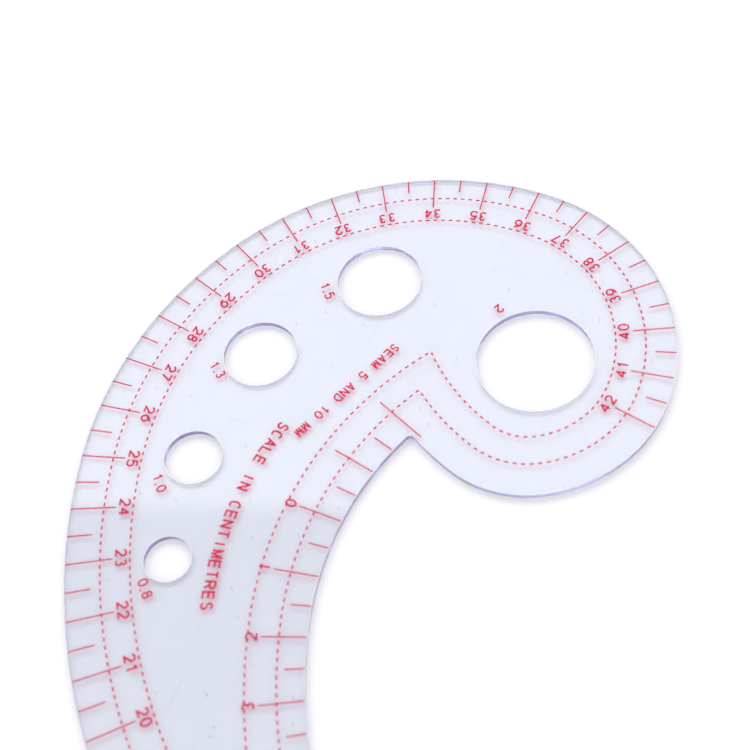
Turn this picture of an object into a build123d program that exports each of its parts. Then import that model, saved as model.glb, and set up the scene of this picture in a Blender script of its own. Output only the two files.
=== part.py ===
from build123d import *
import os

# A comma-shaped curve ruler: one clear flat sheet with a rounded head, a long tapering tail,
# five gauge holes and a printed centimetre scale that runs once round its edge.
# The origin is the centre of the 20 mm gauge hole, on the underside of the sheet.
# +Z points up, out of the printed face. Lengths are in mm and angles in degrees.

# Sheet
sheet_thickness = 1.2
edge_ease = 0.1

# Outline. Both sides start at the notch under the head and meet at the tip of the tail.
# A bend is a radius and the angle it turns through, to the left as seen from above.
notch = (-23.3, -8.0)
notch_radius = 0.9
outer_heading = -67
outer_bends = ((49, 11.5), (19, 48.5), (25, 61), (35, 86), (53, 66.5), (66, 46))
inner_heading = -148.5
inner_bends = ((52, 42),)
tail_tip = (-21.3, -121.7)
tail_tip_radius = 1.2

# Gauge holes: diameter, centre, printed size, and the size's place and heading
gauge_holes = (
    (20, (0, 0), "2", (-3.2, 11.8), -151),
    (15, (-21.9, 23.9), "1.5", (-31.3, 24.4), -80),
    (13, (-45.1, 14.7), "1.3", (-52.9, 13.5), -71),
    (10, (-59.4, -2.5), "1.0", (-65.6, -5.8), -81),
    (8, (-66.0, -19.9), "0.8", (-70.2, -24.1), -80),
)

# Print. It is a little narrower than its design, lies a little off the cut outline,
# and stops just short of the edge.
ink_thickness = 0.03
print_width_share = 0.99
print_offset = (0.2, 0.5)
print_margin = edge_ease + 0.05

# Scale. It starts at the notch, runs down the inner side, round the tail and up the outer side.
millimetres_per_centimetre = 10
first_mark = -2
last_mark = 42
first_number = 0
whole_tick_length = 7.0
half_tick_length = 3.4
inner_tick_share = 1.12
tick_width = 0.22
tick_overrun = 2.0
number_gap = 0.45

# Marks in the narrow tail: how much sheet lies beside each mm of edge counted from the tip,
# the share of it that a whole tick takes, and the ends of the run that carries no number
tail_taper = 0.19
tail_tick_share = 0.66
tail_clear_length = 9
last_inner_number = 7
first_outer_number = 14

# Seam lines
seam_distances = (5, 10)
dash_length = 0.66
dash_pitch = 1.4
dash_width = 0.27

# Characters are pen strokes in a box this size, measured over the ink
character_width = 1.4
character_height = 2.0
stroke_width = 0.31
character_advance = 1.7
point_advance = 0.85
hole_size_height = 1.8

# Unit legends: the main one stands on an arc, the short one on a straight line
main_legend = "SCALE IN CENTIMETRES"
main_legend_height = 2.1
main_legend_radius = 60
main_legend_centre = (-2.9, -44.9)
main_legend_start = 132
main_legend_sweep = 40
side_legend = "SEAM 5 AND 10 MM"
side_legend_height = 1.75
side_legend_start = (-21.7, 9.5)
side_legend_length = 30
side_legend_heading = -148

# ---------------------------------------------------------------- outline


def outline_side(heading, bends):
    """One side of the outline: tangent arcs from the notch, the last one ending at the tail tip."""
    with BuildLine() as side:
        start = Vector(*notch)
        direction = Vector(1, 0).rotate(Axis.Z, heading)
        for radius, sweep in bends:
            bend = JernArc(start, direction, radius, sweep)
            start = bend @ 1
            direction = bend % 1
        TangentArc(start, tail_tip, tangent=direction)
    return side.wire()


outer_side = outline_side(outer_heading, outer_bends)
inner_side = outline_side(inner_heading, inner_bends)

with BuildSketch() as design_outline:
    with BuildLine():
        add(outer_side)
        add(inner_side)
    make_face()

with BuildSketch() as cut_outline:
    add(design_outline.sketch)
    fillet(cut_outline.vertices().sort_by(Axis.Y)[0], tail_tip_radius)
    fillet(cut_outline.vertices().sort_by_distance(notch)[0], notch_radius)

outline_length = cut_outline.wire().length

# ---------------------------------------------------------------- places on a line


def place_along(line, distance):
    """The place a distance along a line, its X axis along the line and its Z axis up."""
    point = line.position_at(distance, position_mode=PositionMode.LENGTH)
    direction = line.tangent_at(distance, position_mode=PositionMode.LENGTH)
    return Plane(point, x_dir=direction).location


def registered(place):
    """Where the print puts a place of its design."""
    position = place.position
    sideways = print_offset[0] - (1 - print_width_share) * position.X
    return Location((sideways, print_offset[1])) * place


def is_inner(mark):
    """Whether a mark of the scale stands on the inner side."""
    return (mark - first_mark) * millimetres_per_centimetre < inner_side.length


def distance_to_tip(mark):
    """How far a mark of the scale stands from the tail tip, along its own side."""
    from_notch = (mark - first_mark) * millimetres_per_centimetre
    if is_inner(mark):
        return inner_side.length - from_notch
    return outer_side.length - (outline_length - from_notch)


def mark_place(mark):
    """Where a mark of the scale meets the outline, its X axis pointing into the sheet."""
    from_notch = (mark - first_mark) * millimetres_per_centimetre
    if is_inner(mark):
        return place_along(inner_side, from_notch) * Rotation(0, 0, -90)
    return place_along(outer_side, outline_length - from_notch) * Rotation(0, 0, 90)


def tick_length(mark, full_length):
    """The length of a tick, shortened where the tail has no room for the full length."""
    length = full_length * inner_tick_share if is_inner(mark) else full_length
    room = distance_to_tip(mark) * tail_taper * tail_tick_share
    return min(length, room * full_length / whole_tick_length)


# ---------------------------------------------------------------- characters

pen_width = character_width - stroke_width
pen_height = character_height - stroke_width
half_pen_width = pen_width / 2
upper_bowl = 0.235 * pen_height
lower_bowl = 0.265 * pen_height
bow_height = 0.48 * pen_height

# Straight strokes, as shares of the pen's width and height
straight_strokes = {
    "1": (((0.2, 0.75), (0.6, 1), (0.6, 0)),),
    "2": (((1, 0), (0, 0), (0.9, 0.55)),),
    "4": (((0.72, 0), (0.72, 1)), ((0.72, 1), (0, 0.3), (1, 0.3))),
    "5": (((0.9, 1), (0.2, 1), (0.05, 0.48)),),
    "7": (((0, 1), (1, 1), (0.35, 0)),),
    "A": (((0, 0), (0.5, 1), (1, 0)), ((0.17, 0.33), (0.83, 0.33))),
    "D": (((0.4, 1), (0, 1), (0, 0), (0.4, 0)),),
    "E": (((1, 1), (0, 1), (0, 0), (1, 0)), ((0, 0.52), (0.92, 0.52))),
    "I": (((0.5, 0), (0.5, 1)),),
    "L": (((0, 1), (0, 0), (1, 0)),),
    "M": (((0, 0), (0, 1), (0.5, 0.1), (1, 1), (1, 0)),),
    "N": (((0, 0), (0, 1), (1, 0), (1, 1)),),
    "R": (((0, 0), (0, 1), (0.6, 1)), ((0, 0.48), (0.6, 0.48)), ((0.5, 0.48), (1, 0))),
    "T": (((0, 1), (1, 1)), ((0.5, 1), (0.5, 0))),
}


def pen_stroke(*lines):
    """Inks the lines of one stroke."""
    trace(lines, line_width=stroke_width)


def bowl(width, height, base):
    """A closed oval stroke, centred across the character, with its lowest point at base."""
    with Locations((half_pen_width, base + height / 2)):
        Ellipse((width + stroke_width) / 2, (height + stroke_width) / 2)
        Ellipse((width - stroke_width) / 2, (height - stroke_width) / 2, mode=Mode.SUBTRACT)


def arc_stroke(radius, height, start, sweep):
    """A round stroke about a point on the character's middle line."""
    pen_stroke(Edge.make_circle(radius, Plane((half_pen_width, height)), start, start + sweep))


def draw_round_strokes(character):
    """Draws the curved strokes of one character."""
    if character == "0":
        bowl(pen_width, pen_height, 0)
    elif character == "2":
        arc_stroke(half_pen_width, pen_height - half_pen_width, -35, 200)
    elif character in "3S":
        upper_start = -90 if character == "3" else 20
        lower_start = -150 if character == "3" else -160
        arc_stroke(upper_bowl, pen_height - upper_bowl, upper_start, 245)
        arc_stroke(lower_bowl, lower_bowl, lower_start, 245)
    elif character == "5":
        points = ((0.05 * pen_width, bow_height), (pen_width, 0.33 * pen_height), (0, 0.18 * pen_height))
        pen_stroke(Edge.make_three_point_arc(*points))
    elif character in "69":
        bowl(pen_width, 1.05 * pen_width, 0)
        tail_end = (0.92 * pen_width, 0.9 * pen_height)
        pen_stroke(Edge.make_tangent_arc((0, 0.525 * pen_width), (0, 1), tail_end))
    elif character == "8":
        bowl(2.1 * upper_bowl, 2 * upper_bowl, 2 * lower_bowl)
        bowl(2.2 * lower_bowl, 2 * lower_bowl, 0)
    elif character == "C":
        pen_stroke(
            Edge.make_ellipse(
                half_pen_width, pen_height / 2, Plane((half_pen_width, pen_height / 2)), 45, 315
            )
        )
    elif character == "D":
        arc_centre = Plane((0.4 * pen_width, pen_height / 2))
        pen_stroke(Edge.make_ellipse(0.6 * pen_width, pen_height / 2, arc_centre, -90, 90))
    elif character == "R":
        arc_centre = Plane((0.6 * pen_width, 0.74 * pen_height))
        pen_stroke(Edge.make_circle(0.26 * pen_height, arc_centre, -90, 90))
    elif character == ".":
        with Locations((half_pen_width, 0)):
            Rectangle(stroke_width, stroke_width)


def draw_character(character):
    """One character, with the lower left corner of its pen box at the origin."""
    with BuildSketch() as drawing:
        for points in straight_strokes.get(character, ()):
            corners = [(across * pen_width, up * pen_height) for across, up in points]
            pen_stroke(Wire.make_polygon(corners, close=False))
        draw_round_strokes(character)
        with Locations((half_pen_width, pen_height / 2)):
            Rectangle(character_width, character_height, mode=Mode.INTERSECT)
    return drawing.sketch


characters = {character: draw_character(character) for character in "01234568.ACDEILMNRST7"}
characters["9"] = characters["6"].rotate(Axis.Z, 180).translate((pen_width, pen_height))


def character_places(text):
    """Each character of a text, with the distance from the text's start to its middle."""
    pen = 0
    for character in text:
        advance = point_advance if character == "." else character_advance
        yield character, pen + advance / 2
        pen += advance


def text_length(text):
    """The length of a line of text at the drawn size."""
    return sum(point_advance if character == "." else character_advance for character in text)


def lettering(text, height):
    """A straight line of text, centred above the origin."""
    start = -text_length(text) / 2
    with BuildSketch() as line:
        for character, middle in character_places(text):
            if character != " ":
                with Locations((start + middle - half_pen_width, stroke_width / 2)):
                    add(characters[character])
    return scale(line.sketch, by=height / character_height)


def lettering_along(text, height, line):
    """A line of text with each character centred on a line, from the line's start."""
    size = height / character_height
    down = Location((0, -height / 2))
    return Sketch() + [
        place_along(line, middle * size) * down * lettering(character, height)
        for character, middle in character_places(text)
        if character != " "
    ]


# ---------------------------------------------------------------- sheet

with BuildPart() as ruler_sheet:
    with BuildSketch():
        add(cut_outline.sketch)
        for diameter, centre, printed_size, size_place, size_heading in gauge_holes:
            with Locations(centre):
                Circle(diameter / 2, mode=Mode.SUBTRACT)
    extrude(amount=sheet_thickness)
    rims = ruler_sheet.faces().filter_by(Axis.Z).edges()
    fillet(rims, edge_ease)

# ---------------------------------------------------------------- print

printed_face = Plane.XY.offset(sheet_thickness)
print_area = offset(cut_outline.sketch, amount=-print_margin)


def marks_with_room(marks):
    """The marks that stand clear of the tail tip."""
    return [mark for mark in marks if distance_to_tip(mark) > tail_clear_length]


whole_marks = marks_with_room(range(first_mark, last_mark + 1))
half_marks = marks_with_room(mark + 0.5 for mark in range(first_mark, last_mark))
numbered_marks = [
    mark
    for mark in whole_marks
    if first_number <= mark <= last_inner_number or mark >= first_outer_number
]


def tick_sketch(marks, full_length):
    """The ticks at the given marks, trimmed to the sheet."""
    with BuildSketch() as ticks:
        for mark in marks:
            length = tick_length(mark, full_length)
            with Locations(registered(mark_place(mark)) * Location((length, 0))):
                Rectangle(length + tick_overrun, tick_width, align=(Align.MAX, Align.CENTER))
        add(print_area, mode=Mode.INTERSECT)
    return ticks.sketch


def seam_sketch(distance):
    """The dashes of the line that runs at a distance inside the outline."""
    seam = offset(design_outline.sketch, amount=-distance, kind=Kind.INTERSECTION).face().outer_wire()
    dash_count = round(seam.length / dash_pitch)
    places = [place_along(seam, seam.length * index / dash_count) for index in range(dash_count)]
    with BuildSketch() as dashes:
        with Locations(*map(registered, places)):
            Rectangle(dash_length, dash_width)
    return dashes.sketch


def number_place(mark):
    """Where the foot of a number stands, its Y axis pointing into the sheet."""
    inset = tick_length(mark, whole_tick_length) + number_gap
    return registered(mark_place(mark)) * Location((inset, 0)) * Rotation(0, 0, -90)


whole_ticks = tick_sketch(whole_marks, whole_tick_length)
half_ticks = tick_sketch(half_marks, half_tick_length)
outer_seam, inner_seam = (seam_sketch(distance) for distance in seam_distances)
numbers = {mark: lettering(str(mark), character_height) for mark in numbered_marks}
hole_sizes = {hole[2]: lettering(hole[2], hole_size_height) for hole in gauge_holes}

legend_arc = CenterArc(main_legend_centre, main_legend_radius, main_legend_start, main_legend_sweep)
legend_line = PolarLine(side_legend_start, side_legend_length, side_legend_heading)
main_legend_letters = lettering_along(main_legend, main_legend_height, legend_arc)
side_legend_letters = lettering_along(side_legend, side_legend_height, legend_line)

with BuildPart() as tick_marks_whole:
    with BuildSketch(printed_face):
        add(whole_ticks)
    extrude(amount=ink_thickness)

with BuildPart() as tick_marks_half:
    with BuildSketch(printed_face):
        add(half_ticks)
    extrude(amount=ink_thickness)

with BuildPart() as scale_numbers:
    with BuildSketch(printed_face):
        for mark in numbered_marks:
            with Locations(number_place(mark)):
                add(numbers[mark])
    extrude(amount=ink_thickness)

with BuildPart() as seam_line_5mm:
    with BuildSketch(printed_face):
        add(outer_seam)
        add(whole_ticks, mode=Mode.SUBTRACT)
    extrude(amount=ink_thickness)

with BuildPart() as seam_line_10mm:
    with BuildSketch(printed_face):
        add(inner_seam)
    extrude(amount=ink_thickness)

with BuildPart() as hole_size_numbers:
    with BuildSketch(printed_face):
        for diameter, centre, printed_size, size_place, size_heading in gauge_holes:
            with Locations(Location(size_place, size_heading) * Location((0, -hole_size_height / 2))):
                add(hole_sizes[printed_size])
    extrude(amount=ink_thickness)

with BuildPart() as unit_legend:
    with BuildSketch(printed_face):
        add(main_legend_letters)
        add(side_legend_letters)
    extrude(amount=ink_thickness)

# ---------------------------------------------------------------- output

os.makedirs("parts", exist_ok=True)

ruler_sheet.part.label = "ruler_sheet"
export_step(ruler_sheet.part, "parts/ruler_sheet.step")

tick_marks_whole.part.label = "tick_marks_whole"
export_step(tick_marks_whole.part, "parts/tick_marks_whole.step")

tick_marks_half.part.label = "tick_marks_half"
export_step(tick_marks_half.part, "parts/tick_marks_half.step")

scale_numbers.part.label = "scale_numbers"
export_step(scale_numbers.part, "parts/scale_numbers.step")

seam_line_5mm.part.label = "seam_line_5mm"
export_step(seam_line_5mm.part, "parts/seam_line_5mm.step")

seam_line_10mm.part.label = "seam_line_10mm"
export_step(seam_line_10mm.part, "parts/seam_line_10mm.step")

hole_size_numbers.part.label = "hole_size_numbers"
export_step(hole_size_numbers.part, "parts/hole_size_numbers.step")

unit_legend.part.label = "unit_legend"
export_step(unit_legend.part, "parts/unit_legend.step")
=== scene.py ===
import math

import bpy
from mathutils import Matrix, Vector


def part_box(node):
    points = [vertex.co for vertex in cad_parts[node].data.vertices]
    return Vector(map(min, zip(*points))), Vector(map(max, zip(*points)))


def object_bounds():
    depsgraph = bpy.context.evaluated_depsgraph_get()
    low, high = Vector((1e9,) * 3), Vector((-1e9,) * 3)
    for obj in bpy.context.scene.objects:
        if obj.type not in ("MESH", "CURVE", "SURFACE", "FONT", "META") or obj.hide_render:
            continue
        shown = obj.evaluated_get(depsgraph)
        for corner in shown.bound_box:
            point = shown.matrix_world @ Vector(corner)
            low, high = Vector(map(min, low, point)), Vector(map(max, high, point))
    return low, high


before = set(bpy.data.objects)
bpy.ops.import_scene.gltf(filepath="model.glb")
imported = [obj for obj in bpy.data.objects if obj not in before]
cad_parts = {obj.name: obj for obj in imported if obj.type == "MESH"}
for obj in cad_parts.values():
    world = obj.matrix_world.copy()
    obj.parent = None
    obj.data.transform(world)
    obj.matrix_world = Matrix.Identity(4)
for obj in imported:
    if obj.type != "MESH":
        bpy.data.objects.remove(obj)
cad_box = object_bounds()

# A clear curve ruler with a rose-red printed scale, lying on white paper under soft studio
# light. Every object comes from the design. This script gives them their materials, and adds
# the paper, the light and the camera. Lengths are in metres and angles in degrees.

MM = 0.001
sheet_low, sheet_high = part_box("ruler_sheet")

# ---------------------------------------------------------------- settings: camera

# The camera looks down at the ruler's neck, between the biggest hole and the next one
aim = Vector((-26.7 * MM, 4.7 * MM, sheet_high[2]))
camera_distance = 241.2 * MM
camera_elevation = 57.0
camera_roll = 13.84
lens_length = 68.3
sensor_width = 36
f_number = 26
nearest_seen = 10 * MM

# The camera focuses at the distance of a point this far under the ruler's middle
focus_point_depth = 47.0 * MM

# ---------------------------------------------------------------- settings: clear plastic

# A colour is what the plastic's surface does to light. The absorption is per metre of depth.
plastic_ior = 1.49
absorption = (14, 13, 5)
face_tint = (0.846, 0.859, 0.911, 1)

# How far a surface faces up or down runs from 0 on a cut wall to 1 on a face. The rims are
# the eased edges between these two spans.
wall_to_rim = (0.1, 0.3)
rim_to_face = (0.93, 0.99)
# The rims are painted near-white and mostly opaque, a painted highlight for the bright lines of
# light along the edges
painted_rim_highlight = (0.97, 0.97, 0.98, 1)
rim_clearness = 0.2

# Cut walls, as seen from outside and through the plastic, with fine marks from the cutter.
# Their violet is painted light and shade for light that runs inside the sheet: darker from
# outside, paler from inside.
painted_wall_violet = (0.42, 0.46, 0.73, 1)
painted_wall_violet_inside = (0.86, 0.87, 0.96, 1)
wall_clearness = 0.55
wall_clearness_inside = 0.85
wall_roughness = 0.12
cut_marks_per_mm = 6.0
cut_mark_detail = 3.0
relief_height = 0.02 * MM
relief_strength = 0.3

# Hairline scratches, in patches, that run at two angles
scratch_angles = (25, -55)
scratches_per_mm = 2.5
scratch_stretch = 0.03
scratch_edge = (0.73, 0.76)
scratch_patches_per_mm = 0.06
scratch_patch_edge = (0.45, 0.6)
scratch_colour = (0.79, 0.80, 0.87, 1)
scratch_depth = 0.2

# Faint dull smears
smears_per_mm = 0.08
smear_detail = 3.0
smear_edge = (0.45, 0.75)
smear_roughness = 0.04

# Specks of dust. Each gets a random number, and is seen only if that is past the lower one.
dust_colour = (0.45, 0.46, 0.55, 1)
dust_radius = 0.15 * MM
dust_core_share = 0.6
dust_per_mm = 0.16
dust_seen_from = (0.4, 0.9)
dust_opacity = 0.4

# ---------------------------------------------------------------- settings: ink and paper

# The ink is thicker in some places than in others. The filter is what it does to light on
# its way through one side of the film.
ink_patches_per_mm = 3.0
ink_patch_detail = 4.0
ink_patch_roughness = 0.6
ink_patch_span = (0.2, 0.8)
ink_colour_thick = (0.74, 0.006, 0.06, 1)
ink_colour_thin = (0.82, 0.015, 0.10, 1)
ink_filter = (0.99, 0.32, 0.50, 1)
ink_clearness = 0.68
ink_clearness_change = 0.1
ink_roughness = 0.45
ink_shine = 0.2
ink_relief_height = 0.005 * MM
ink_relief_strength = 0.2

paper_colour = (0.9, 0.9, 0.9, 1)
paper_gap = 0.05 * MM
paper_half_size = 3.0

# ---------------------------------------------------------------- settings: light

# A softbox hangs behind the ruler. Its near edge is level in the picture, and is mirrored in
# the ruler this many degrees below the picture's middle. The radiances are relative to white.
softbox_edge_below_middle = 5.35
softbox_edge_softness = 0.012
softbox_lowest_elevation = 30
softbox_half_width = 45
softbox_far_softness = 0.1
softbox_radiance = 2.54
room_radiance = 1.0

# Light runs far inside a clear sheet, so its paths need many bounces
light_bounces = 64

# ---------------------------------------------------------------- camera directions

elevation = math.radians(camera_elevation)
roll = math.radians(camera_roll)
forward = Vector((0, math.cos(elevation), -math.sin(elevation)))
level_up = Vector((0, math.sin(elevation), math.cos(elevation)))
level_right = Vector((1, 0, 0))
camera_right = math.cos(roll) * level_right - math.sin(roll) * level_up
camera_up = math.sin(roll) * level_right + math.cos(roll) * level_up

# ---------------------------------------------------------------- node helpers


class Nodes:
    """Adds and links the nodes of one material or world."""

    def __init__(self, owner):
        owner.use_nodes = True
        self.tree = owner.node_tree
        self.tree.nodes.clear()

    def add(self, kind, settings=None, **inputs):
        """Adds a node. Inputs are values or sockets, by their name with _ for a space."""
        node = self.tree.nodes.new(kind)
        for name, value in (settings or {}).items():
            setattr(node, name, value)
        for name, value in inputs.items():
            self.feed(node, name.replace("_", " "), value)
        return node

    def feed(self, node, name, value):
        """Sets one input of a node, or links a socket to it. A number picks it by its place."""
        socket = node.inputs[name]
        if isinstance(value, bpy.types.NodeSocket):
            self.tree.links.new(value, socket)
        else:
            socket.default_value = value

    def math(self, operation, first, second=0.0):
        """A math node's result."""
        node = self.add("ShaderNodeMath", {"operation": operation})
        self.feed(node, 0, first)
        self.feed(node, 1, second)
        return node.outputs[0]

    def vector_math(self, operation, first, second):
        """A vector math node."""
        node = self.add("ShaderNodeVectorMath", {"operation": operation})
        self.feed(node, 0, first)
        self.feed(node, 1, second)
        return node

    def ramp(self, value, low, high, from_value=0.0, to_value=1.0):
        """A value mapped smoothly from low..high to from_value..to_value."""
        node = self.add(
            "ShaderNodeMapRange",
            {"interpolation_type": "SMOOTHSTEP"},
            Value=value, From_Min=low, From_Max=high, To_Min=from_value, To_Max=to_value,
        )
        return node.outputs["Result"]

    def rest(self, share):
        """What is left of one after a share of it."""
        return self.math("SUBTRACT", 1.0, share)

    def mix_colour(self, factor, first, second):
        """Two colours mixed by a factor."""
        node = self.add("ShaderNodeMix", {"data_type": "RGBA"})
        self.feed(node, 0, factor)
        self.feed(node, 6, first)
        self.feed(node, 7, second)
        return node.outputs[2]

    def noise(self, coordinates, per_mm, detail=2.0, roughness=0.5):
        """A noise pattern with about this many cells per mm."""
        node = self.add(
            "ShaderNodeTexNoise",
            Vector=coordinates, Scale=per_mm / MM, Detail=detail, Roughness=roughness,
        )
        return node.outputs["Fac"]


# ---------------------------------------------------------------- clear plastic


def scratch_field(n, place, angle):
    """Where the scratches are that run at about an angle."""
    turned = n.add("ShaderNodeMapping", Vector=place, Rotation=(0, 0, math.radians(angle)))
    stretched = n.vector_math("MULTIPLY", turned.outputs[0], (scratch_stretch, 1, 1))
    lines = n.ramp(n.noise(stretched.outputs[0], scratches_per_mm, detail=0.0), *scratch_edge)
    patches = n.ramp(n.noise(place, scratch_patches_per_mm, detail=1.0), *scratch_patch_edge)
    return n.math("MULTIPLY", lines, patches)


def dust_field(n, place):
    """Where the specks of dust are, and how opaque they are."""
    cells = n.add(
        "ShaderNodeTexVoronoi", {"voronoi_dimensions": "2D"}, Vector=place, Scale=dust_per_mm / MM
    )
    radius = dust_radius * dust_per_mm / MM
    specks = n.ramp(cells.outputs["Distance"], dust_core_share * radius, radius, 1.0, 0.0)
    chance = n.add("ShaderNodeSeparateXYZ", Vector=cells.outputs["Color"]).outputs["X"]
    return n.math("MULTIPLY", specks, n.ramp(chance, *dust_seen_from, 0.0, dust_opacity))


def clear_sheet_material():
    """Clear plastic, faintly violet with depth, with cut walls painted violet for shade, rims
    painted near-white for a highlight, and light wear.
    """
    material = bpy.data.materials.new("clear_sheet")
    n = Nodes(material)
    place = n.add("ShaderNodeTexCoord").outputs["Object"]
    geometry = n.add("ShaderNodeNewGeometry")
    inside = geometry.outputs["Backfacing"]
    normal = n.add("ShaderNodeSeparateXYZ", Vector=geometry.outputs["Normal"])
    facing_up = n.math("ABSOLUTE", normal.outputs["Z"])
    wall = n.ramp(facing_up, *wall_to_rim, 1.0, 0.0)
    above_wall = n.ramp(facing_up, *wall_to_rim)
    rim = n.math("MULTIPLY", above_wall, n.ramp(facing_up, *rim_to_face, 1.0, 0.0))
    dust = dust_field(n, place)
    scratches = n.math("MAXIMUM", *(scratch_field(n, place, angle) for angle in scratch_angles))

    cut_relief = n.math("MULTIPLY", n.noise(place, cut_marks_per_mm, cut_mark_detail), wall)
    relief = n.math("SUBTRACT", cut_relief, n.math("MULTIPLY", scratches, scratch_depth))
    bump = n.add("ShaderNodeBump", Strength=relief_strength, Distance=relief_height, Height=relief)
    smears = n.ramp(n.noise(place, smears_per_mm, smear_detail), *smear_edge, 0.0, smear_roughness)
    roughness = n.math("MAXIMUM", n.math("MULTIPLY", wall, wall_roughness), smears)

    worn_face = n.mix_colour(scratches, face_tint, scratch_colour)
    # Painted shade on the cut walls: a darker violet seen from outside, a paler one from inside
    painted_cut_wall = n.mix_colour(inside, painted_wall_violet, painted_wall_violet_inside)
    # Painted highlight on the rims: they are mixed towards near-white
    clean = n.mix_colour(rim, n.mix_colour(wall, worn_face, painted_cut_wall), painted_rim_highlight)
    colour = n.mix_colour(dust, clean, dust_colour)

    # The painted wall colour covers more of the wall seen from outside than from inside
    cut_clearness = n.ramp(inside, 0.0, 1.0, wall_clearness, wall_clearness_inside)
    wall_opacity = n.math("MULTIPLY", wall, n.rest(cut_clearness))
    rim_opacity = n.math("MULTIPLY", rim, 1.0 - rim_clearness)
    clearness = n.rest(n.math("ADD", wall_opacity, rim_opacity))
    glass = n.add(
        "ShaderNodeBsdfPrincipled",
        Base_Color=colour, Roughness=roughness, IOR=plastic_ior, Normal=bump.outputs[0],
        Transmission_Weight=n.math("MULTIPLY", clearness, n.rest(dust)),
    )

    strongest = max(absorption)
    passed = [1 - share / strongest for share in absorption]
    depth = n.add("ShaderNodeVolumeAbsorption", Color=(*passed, 1), Density=strongest)
    n.add("ShaderNodeOutputMaterial", Surface=glass.outputs[0], Volume=depth.outputs[0])
    return material


# ---------------------------------------------------------------- ink and paper


def red_ink_material():
    """Rose-red printed ink, a film that lets red light through, a little uneven."""
    material = bpy.data.materials.new("red_ink")
    n = Nodes(material)
    place = n.add("ShaderNodeTexCoord").outputs["Object"]
    unevenness = n.noise(place, ink_patches_per_mm, ink_patch_detail, ink_patch_roughness)
    bump = n.add(
        "ShaderNodeBump",
        Strength=ink_relief_strength, Distance=ink_relief_height, Height=unevenness,
    )
    pigment = n.add(
        "ShaderNodeBsdfPrincipled",
        Base_Color=n.mix_colour(unevenness, ink_colour_thick, ink_colour_thin),
        Roughness=ink_roughness, Specular_IOR_Level=ink_shine, Normal=bump.outputs[0],
    )
    passed_light = n.add("ShaderNodeBsdfTransparent", Color=ink_filter)
    least_clear = (1 - ink_clearness_change) * ink_clearness
    most_clear = (1 + ink_clearness_change) * ink_clearness
    film = n.add("ShaderNodeMixShader")
    n.feed(film, 0, n.ramp(unevenness, *ink_patch_span, least_clear, most_clear))
    n.feed(film, 1, pigment.outputs[0])
    n.feed(film, 2, passed_light.outputs[0])
    n.add("ShaderNodeOutputMaterial", Surface=film.outputs[0])
    return material


def paper_material():
    """Plain matt white."""
    material = bpy.data.materials.new("paper")
    n = Nodes(material)
    paper = n.add("ShaderNodeBsdfDiffuse", Color=paper_colour)
    n.add("ShaderNodeOutputMaterial", Surface=paper.outputs[0])
    return material


# ---------------------------------------------------------------- ruler

clear_sheet = clear_sheet_material()
red_ink = red_ink_material()
for name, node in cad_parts.items():
    node.material_slots[0].material = clear_sheet if name == "ruler_sheet" else red_ink

# ---------------------------------------------------------------- paper, light and camera


def add_paper():
    """A flat floor just under the ruler."""
    half = paper_half_size
    mesh = bpy.data.meshes.new("paper")
    corners = [(-half, -half, 0), (half, -half, 0), (half, half, 0), (-half, half, 0)]
    mesh.from_pydata(corners, [], [(0, 1, 2, 3)])
    mesh.materials.append(paper_material())
    paper = bpy.data.objects.new("paper", mesh)
    paper.location.z = sheet_low[2] - paper_gap
    bpy.context.scene.collection.objects.link(paper)


def mirrored(direction):
    """A direction after the flat sheet has mirrored it."""
    return Vector((direction.x, direction.y, -direction.z))


def add_studio():
    """Soft light from all around, with a big softbox behind the ruler."""
    below_middle = math.tan(math.radians(softbox_edge_below_middle))
    edge_ray = mirrored(forward - below_middle * camera_up)
    edge_normal = mirrored(camera_right).cross(edge_ray).normalized()
    if edge_normal.dot(mirrored(forward)) < 0:
        edge_normal.negate()

    world = bpy.data.worlds.new("studio")
    bpy.context.scene.world = world
    n = Nodes(world)
    direction = n.add("ShaderNodeTexCoord").outputs["Generated"]
    parts = n.add("ShaderNodeSeparateXYZ", Vector=direction)
    beyond = n.vector_math("DOT_PRODUCT", direction, edge_normal).outputs["Value"]
    sideways = n.math("ABSOLUTE", n.math("ARCTAN2", parts.outputs["X"], parts.outputs["Y"]))
    near, far = softbox_edge_softness, softbox_far_softness
    lowest = math.sin(math.radians(softbox_lowest_elevation))
    widest = math.radians(softbox_half_width)
    beyond_edge = n.ramp(beyond, -near, near)
    high_enough = n.ramp(parts.outputs["Z"], lowest - far, lowest + far)
    near_enough = n.ramp(sideways, widest - far, widest + far, 1.0, 0.0)
    softbox = n.math("MULTIPLY", beyond_edge, n.math("MULTIPLY", high_enough, near_enough))
    radiance = n.ramp(softbox, 0.0, 1.0, room_radiance, softbox_radiance)
    light = n.add("ShaderNodeBackground", Color=(1, 1, 1, 1), Strength=radiance)
    n.add("ShaderNodeOutputWorld", Surface=light.outputs[0])


def add_focus():
    """The point that the camera focuses on."""
    focus = bpy.data.objects.new("focus", None)
    focus.location = (cad_box[0] + cad_box[1]) / 2
    focus.location.z = sheet_high[2] - focus_point_depth
    bpy.context.scene.collection.objects.link(focus)
    return focus


def add_camera():
    """A camera that looks down at the aim point, rolled about its own axis."""
    data = bpy.data.cameras.new("camera")
    data.lens = lens_length
    data.sensor_width = sensor_width
    data.clip_start = nearest_seen
    data.dof.use_dof = True
    data.dof.focus_object = add_focus()
    data.dof.aperture_fstop = f_number
    camera = bpy.data.objects.new("camera", data)
    turn = Matrix((camera_right, camera_up, -forward)).transposed().to_4x4()
    camera.matrix_world = Matrix.Translation(aim - camera_distance * forward) @ turn
    bpy.context.scene.collection.objects.link(camera)
    bpy.context.scene.camera = camera


add_paper()
add_studio()
add_camera()
bpy.context.scene.view_settings.view_transform = "Standard"

# No blurring of reflections, which would darken the light that runs inside the sheet
cycles = bpy.context.scene.cycles
cycles.max_bounces = light_bounces
cycles.glossy_bounces = light_bounces
cycles.transmission_bounces = light_bounces
cycles.blur_glossy = 0
